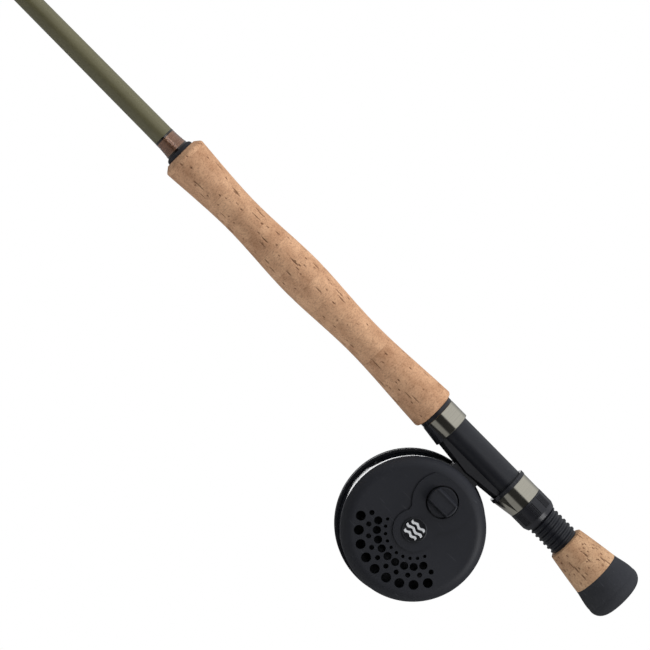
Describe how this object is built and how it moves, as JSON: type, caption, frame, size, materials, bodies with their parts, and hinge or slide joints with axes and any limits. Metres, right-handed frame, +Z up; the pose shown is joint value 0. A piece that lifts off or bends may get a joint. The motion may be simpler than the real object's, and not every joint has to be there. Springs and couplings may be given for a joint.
{
  "type": "fly rod with fly reel",
  "caption": "Full-length sectional fly rod with cork grip, uplocking seat and fighting butt, holding a caliper-drag fly reel with a palming rim.",
  "frame": {"origin": "on the rod's axis at the middle of the cork grip, where a hand holds it", "axes": "+X along the rod towards its tip, +Z up with the reel hanging towards -Z, +Y towards the drag-knob side of the reel"},
  "size_m": [2.7465, 0.059, 0.1066],
  "materials": {
    "olive_blank": "satin olive varnish over graphite",
    "copper_thread": "copper-brown thread under clear varnish",
    "black_rubber": "fine matte",
    "cork": "sanded cork rings",
    "black_plastic": "satin black",
    "pewter": "satin champagne-grey plate",
    "black_barrel": "satin black anodised",
    "reel_black": "fine-grained matte black moulding",
    "foot_black": "satin black coat on cast aluminium",
    "steel": "machined stainless steel",
    "dark_steel": "black-oxide steel, satin",
    "guide_wire": "hard-chromed wire",
    "ceramic": "polished ceramic",
    "bronze": "sintered bronze",
    "friction_pad": "cork-filled friction material",
    "badge": "spun finish with black fill"
  },
  "bodies": {
    "rod": {"butt_section": "olive_blank", "grip_wrap": "copper_thread", "winding_check": "black_rubber", "cork_grip": "cork", "seat_collar": "black_plastic", "fixed_hood_insert": "black_plastic", "fixed_hood_shell": "pewter", "seat_barrel": "black_barrel", "butt_cork": "cork", "butt_cap": "black_rubber", "reel_foot": "foot_black", "foot_screws": "steel", "reel_frame": "reel_black", "spindle": "steel", "spindle_nut": "steel", "hub_badge": "badge", "caliper_bracket": "dark_steel", "bracket_screws": "steel", "fixed_pad": "friction_pad", "click_spring": "steel"},
    "second_piece": {"second_section": "olive_blank", "second_ferrule_wrap": "copper_thread", "second_guide_wraps": "copper_thread", "large_stripping_guide": "guide_wire", "small_stripping_guide": "guide_wire", "ceramic_rings": "ceramic"},
    "third_piece": {"third_section": "olive_blank", "third_ferrule_wrap": "copper_thread", "third_guide_wraps": "copper_thread", "third_snake_guides": "guide_wire"},
    "tip_piece": {"tip_section": "olive_blank", "tip_ferrule_wrap": "copper_thread", "tip_guide_wraps": "copper_thread", "lower_tip_snake_guides": "guide_wire", "upper_tip_snake_guides": "guide_wire", "tip_top": "guide_wire"},
    "sliding_hood": {"sliding_hood_insert": "black_plastic", "sliding_hood_shell": "pewter"},
    "lock_nut": {"lock_nut": "black_plastic"},
    "spool": {"spool": "reel_black", "spool_bushings": "bronze", "drive_sleeve": "steel", "handle_post": "steel", "handle_screw": "steel", "counterweight": "dark_steel", "latch_cover": "reel_black", "cover_screws": "steel", "latch_spring": "steel"},
    "spool_latch": {"spool_latch": "dark_steel"},
    "handle_knob": {"handle_knob": "reel_black"},
    "drag_disc": {"drag_disc": "dark_steel", "clutch_bearing": "dark_steel"},
    "drag_knob": {"drag_knob": "reel_black", "drag_screw": "steel"},
    "pressure_plate": {"pressure_block": "dark_steel", "moving_pad": "friction_pad"},
    "click_pawl": {"click_pawl": "dark_steel"}
  },
  "joints": [
    {"name": "second_ferrule_slide", "type": "slide", "parent": "rod", "child": "second_piece", "axis": [1, 0, 0], "range_m": [0, 0.052]},
    {"name": "third_ferrule_slide", "type": "slide", "parent": "second_piece", "child": "third_piece", "axis": [1, 0, 0], "range_m": [0, 0.052]},
    {"name": "tip_ferrule_slide", "type": "slide", "parent": "third_piece", "child": "tip_piece", "axis": [1, 0, 0], "range_m": [0, 0.052]},
    {"name": "hood_slide", "type": "slide", "parent": "rod", "child": "sliding_hood", "axis": [-1, 0, 0], "range_m": [0, 0.016]},
    {"name": "lock_nut_turn", "type": "hinge", "parent": "sliding_hood", "child": "lock_nut", "pos_m": [-0.16752, 0, 0], "axis": [-1, 0, 0], "range_deg": [0, 1988.2]},
    {"name": "spool_spin", "type": "hinge", "parent": "rod", "child": "spool", "pos_m": [-0.1285, 0, -0.05095], "axis": [0, 1, 0], "continuous": true},
    {"name": "drag_disc_spin", "type": "hinge", "parent": "rod", "child": "drag_disc", "pos_m": [-0.1285, 0.01, -0.05095], "axis": [0, 1, 0], "continuous": true},
    {"name": "spool_latch_press", "type": "slide", "parent": "spool", "child": "spool_latch", "axis": [0, 0, -1], "range_m": [0, 0.0032], "stiffness_N_per_m": 300, "springref_m": -0.001, "deforming": ["latch_spring"]},
    {"name": "handle_spin", "type": "hinge", "parent": "spool", "child": "handle_knob", "pos_m": [-0.15387, -0.0239, -0.06018], "axis": [0, 1, 0], "continuous": true},
    {"name": "drag_knob_turn", "type": "hinge", "parent": "rod", "child": "drag_knob", "pos_m": [-0.1285, 0.0186, -0.03045], "axis": [0, -1, 0], "range_deg": [0, 300]},
    {"name": "pressure_slide", "type": "slide", "parent": "rod", "child": "pressure_plate", "axis": [0, -1, 0], "range_m": [0, 0.0005]},
    {"name": "click_pawl_lift", "type": "hinge", "parent": "rod", "child": "click_pawl", "pos_m": [-0.119, 0.0105, -0.08185], "axis": [0, -1, 0], "range_deg": [0, 8], "stiffness_Nm_per_rad": 0.02, "springref_deg": -11.46, "deforming": ["click_spring"]}
  ],
  "couplings": [
    {"joint": "lock_nut_turn", "follows": "hood_slide", "rad_per_m": 2166.6},
    {"joint": "drag_disc_spin", "follows": "spool_spin", "ratio": 1},
    {"joint": "drag_knob_turn", "follows": "pressure_slide", "rad_per_m": 10471}
  ]
}
